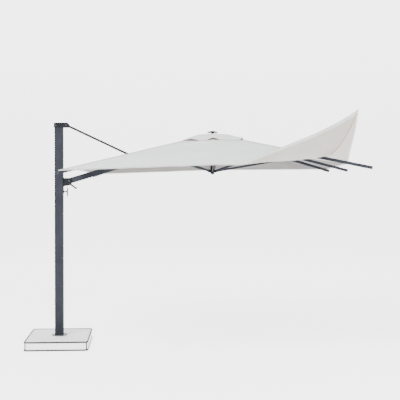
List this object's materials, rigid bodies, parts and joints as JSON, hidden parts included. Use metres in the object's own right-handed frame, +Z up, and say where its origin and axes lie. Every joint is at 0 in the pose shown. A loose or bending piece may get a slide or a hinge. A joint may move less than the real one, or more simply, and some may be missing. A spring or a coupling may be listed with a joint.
{
  "type": "cantilever parasol",
  "caption": "Square vented canvas canopy hung from a tied side beam on a track mast, with a sliding carriage, folding ribs and a ballast slab.",
  "frame": {"origin": "on the mast's axis, on the underside of the ballast slab", "axes": "+Z up, +X from the mast towards the canopy, +Y to the far side"},
  "size_m": [3.6051, 3.0358, 2.5109],
  "materials": {
    "canvas": "matte",
    "black_plastic": "matte",
    "coated_aluminium": "satin",
    "coated_profile": "satin",
    "dark_casting": "satin",
    "zinc_steel": "satin",
    "cast_stone": "matte"
  },
  "bodies": {
    "base": {"ballast_slab": "cast_stone", "base_collar": "cast_stone"},
    "mast": {"turning_foot": "cast_stone", "mast_tube": "coated_profile", "mast_cap": "dark_casting", "tie_upper_pin": "zinc_steel"},
    "carriage": {"carriage_shoe": "black_plastic", "carriage_bracket": "dark_casting", "beam_pin": "zinc_steel", "lever_pin": "zinc_steel"},
    "clamp": {"clamp_screw": "zinc_steel", "clamp_handle": "black_plastic"},
    "lever": {"lever_arm": "dark_casting", "lever_grip": "black_plastic"},
    "beam": {"beam_tube": "coated_aluminium", "beam_root_fitting": "dark_casting", "beam_end_fork": "dark_casting", "hub_pin": "zinc_steel"},
    "tie": {"tie_rod": "coated_aluminium", "tie_upper_eye": "dark_casting", "tie_lower_fork": "dark_casting"},
    "hub": {"hub_crown": "dark_casting", "hub_post": "coated_profile", "hub_finial": "dark_casting"},
    "runner": {"runner": "dark_casting"},
    "rib_body_near_left": {"rib_near_left": "coated_aluminium", "rib_tip_near_left": "black_plastic", "canopy_left_near": "canvas", "canopy_near_left": "canvas", "vent_near_left": "canvas"},
    "strut_body_near_left": {"strut_near_left": "coated_aluminium"},
    "rib_body_near_mid": {"rib_near_mid": "coated_aluminium", "rib_tip_near_mid": "black_plastic"},
    "strut_body_near_mid": {"strut_near_mid": "coated_aluminium"},
    "rib_body_near_right": {"rib_near_right": "coated_aluminium", "rib_tip_near_right": "black_plastic", "canopy_near_right": "canvas", "canopy_right_near": "canvas", "vent_near_right": "canvas"},
    "strut_body_near_right": {"strut_near_right": "coated_aluminium"},
    "rib_body_right_mid": {"rib_right_mid": "coated_aluminium", "rib_tip_right_mid": "black_plastic"},
    "strut_body_right_mid": {"strut_right_mid": "coated_aluminium"},
    "rib_body_far_right": {"rib_far_right": "coated_aluminium", "rib_tip_far_right": "black_plastic", "canopy_right_far": "canvas", "canopy_far_right": "canvas", "vent_far_right": "canvas"},
    "strut_body_far_right": {"strut_far_right": "coated_aluminium"},
    "rib_body_far_mid": {"rib_far_mid": "coated_aluminium", "rib_tip_far_mid": "black_plastic"},
    "strut_body_far_mid": {"strut_far_mid": "coated_aluminium"},
    "rib_body_far_left": {"rib_far_left": "coated_aluminium", "rib_tip_far_left": "black_plastic", "canopy_far_left": "canvas", "canopy_left_far": "canvas", "vent_far_left": "canvas"},
    "strut_body_far_left": {"strut_far_left": "coated_aluminium"}
  },
  "joints": [
    {"name": "mast_turn", "type": "hinge", "parent": "base", "child": "mast", "pos_m": [0, 0, 0.104], "axis": [0, 0, 1], "continuous": true},
    {"name": "carriage_slide", "type": "slide", "parent": "mast", "child": "carriage", "axis": [0, 0, 1], "range_m": [-0.6, 0]},
    {"name": "clamp_turn", "type": "hinge", "parent": "carriage", "child": "clamp", "pos_m": [0.052, 0, 1.711], "axis": [1, 0, 0], "continuous": true},
    {"name": "lever_swing", "type": "hinge", "parent": "carriage", "child": "lever", "pos_m": [0.124, 0, 1.795], "axis": [0, 1, 0], "range_deg": [0, 45]},
    {"name": "beam_swing", "type": "hinge", "parent": "carriage", "child": "beam", "pos_m": [0.115, 0, 1.83], "axis": [0, -1, 0], "range_deg": [0, 26.92]},
    {"name": "tie_swing", "type": "hinge", "parent": "mast", "child": "tie", "pos_m": [0.085, 0, 2.454], "axis": [0, 1, 0], "range_deg": [0, 20.98]},
    {"name": "hub_level", "type": "hinge", "parent": "beam", "child": "hub", "pos_m": [1.63, 0, 2.2845], "axis": [0, 1, 0], "range_deg": [0, 26.92]},
    {"name": "runner_slide", "type": "slide", "parent": "hub", "child": "runner", "axis": [0, 0, -1], "range_m": [0, 1.3]},
    {"name": "rib_fold_near_left", "type": "hinge", "parent": "hub", "child": "rib_body_near_left", "pos_m": [1.68323, -0.03677, 2.325], "axis": [0.7071, -0.7071, 0], "range_deg": [0, 67.21], "deforming": ["canopy_left_near", "canopy_near_left", "vent_near_left"]},
    {"name": "strut_fold_near_left", "type": "hinge", "parent": "rib_body_near_left", "child": "strut_body_near_left", "pos_m": [1.09834, -0.62166, 2.12723], "axis": [-0.7071, 0.7071, 0], "range_deg": [0, 134.63]},
    {"name": "rib_fold_near_mid", "type": "hinge", "parent": "hub", "child": "rib_body_near_mid", "pos_m": [1.72, -0.052, 2.325], "axis": [1, 0, 0], "range_deg": [0, 69.25]},
    {"name": "strut_fold_near_mid", "type": "hinge", "parent": "rib_body_near_mid", "child": "strut_body_near_mid", "pos_m": [1.72, -0.86879, 2.08801], "axis": [-1, 0, 0], "range_deg": [0, 143.74]},
    {"name": "rib_fold_near_right", "type": "hinge", "parent": "hub", "child": "rib_body_near_right", "pos_m": [1.75677, -0.03677, 2.325], "axis": [0.7071, 0.7071, 0], "range_deg": [0, 66.92], "deforming": ["canopy_near_right", "canopy_right_near", "vent_near_right"]},
    {"name": "strut_fold_near_right", "type": "hinge", "parent": "rib_body_near_right", "child": "strut_body_near_right", "pos_m": [2.34464, -0.62464, 2.14578], "axis": [-0.7071, -0.7071, 0], "range_deg": [0, 131.75]},
    {"name": "rib_fold_right_mid", "type": "hinge", "parent": "hub", "child": "rib_body_right_mid", "pos_m": [1.772, 0, 2.325], "axis": [0, 1, 0], "range_deg": [0, 69.79]},
    {"name": "strut_fold_right_mid", "type": "hinge", "parent": "rib_body_right_mid", "child": "strut_body_right_mid", "pos_m": [2.58755, 0, 2.08378], "axis": [0, -1, 0], "range_deg": [0, 145.38]},
    {"name": "rib_fold_far_right", "type": "hinge", "parent": "hub", "child": "rib_body_far_right", "pos_m": [1.75677, 0.03677, 2.325], "axis": [-0.7071, 0.7071, 0], "range_deg": [0, 66.87], "deforming": ["canopy_right_far", "canopy_far_right", "vent_far_right"]},
    {"name": "strut_fold_far_right", "type": "hinge", "parent": "rib_body_far_right", "child": "strut_body_far_right", "pos_m": [2.34558, 0.62558, 2.15202], "axis": [0.7071, -0.7071, 0], "range_deg": [0, 130.88]},
    {"name": "rib_fold_far_mid", "type": "hinge", "parent": "hub", "child": "rib_body_far_mid", "pos_m": [1.72, 0.052, 2.325], "axis": [-1, 0, 0], "range_deg": [0, 69.25]},
    {"name": "strut_fold_far_mid", "type": "hinge", "parent": "rib_body_far_mid", "child": "strut_body_far_mid", "pos_m": [1.72, 0.86879, 2.08801], "axis": [1, 0, 0], "range_deg": [0, 143.74]},
    {"name": "rib_fold_far_left", "type": "hinge", "parent": "hub", "child": "rib_body_far_left", "pos_m": [1.68323, 0.03677, 2.325], "axis": [-0.7071, -0.7071, 0], "range_deg": [0, 67.21], "deforming": ["canopy_far_left", "canopy_left_far", "vent_far_left"]},
    {"name": "strut_fold_far_left", "type": "hinge", "parent": "rib_body_far_left", "child": "strut_body_far_left", "pos_m": [1.09834, 0.62166, 2.12723], "axis": [0.7071, 0.7071, 0], "range_deg": [0, 134.63]}
  ],
  "couplings": [
    {"joint": "beam_swing", "follows": "carriage_slide", "rad_per_m": -0.7832},
    {"joint": "tie_swing", "follows": "carriage_slide", "rad_per_m": -0.61035},
    {"joint": "hub_level", "follows": "carriage_slide", "rad_per_m": -0.7832},
    {"joint": "runner_slide", "follows": "carriage_slide", "ratio": -2.1667},
    {"joint": "rib_fold_near_left", "follows": "carriage_slide", "rad_per_m": -1.9552},
    {"joint": "strut_fold_near_left", "follows": "carriage_slide", "rad_per_m": -3.9163},
    {"joint": "rib_fold_near_mid", "follows": "carriage_slide", "rad_per_m": -2.0144},
    {"joint": "strut_fold_near_mid", "follows": "carriage_slide", "rad_per_m": -4.1812},
    {"joint": "rib_fold_near_right", "follows": "carriage_slide", "rad_per_m": -1.9466},
    {"joint": "strut_fold_near_right", "follows": "carriage_slide", "rad_per_m": -3.8324},
    {"joint": "rib_fold_right_mid", "follows": "carriage_slide", "rad_per_m": -2.03},
    {"joint": "strut_fold_right_mid", "follows": "carriage_slide", "rad_per_m": -4.2288},
    {"joint": "rib_fold_far_right", "follows": "carriage_slide", "rad_per_m": -1.945},
    {"joint": "strut_fold_far_right", "follows": "carriage_slide", "rad_per_m": -3.8071},
    {"joint": "rib_fold_far_mid", "follows": "carriage_slide", "rad_per_m": -2.0144},
    {"joint": "strut_fold_far_mid", "follows": "carriage_slide", "rad_per_m": -4.1812},
    {"joint": "rib_fold_far_left", "follows": "carriage_slide", "rad_per_m": -1.9552},
    {"joint": "strut_fold_far_left", "follows": "carriage_slide", "rad_per_m": -3.9163}
  ]
}
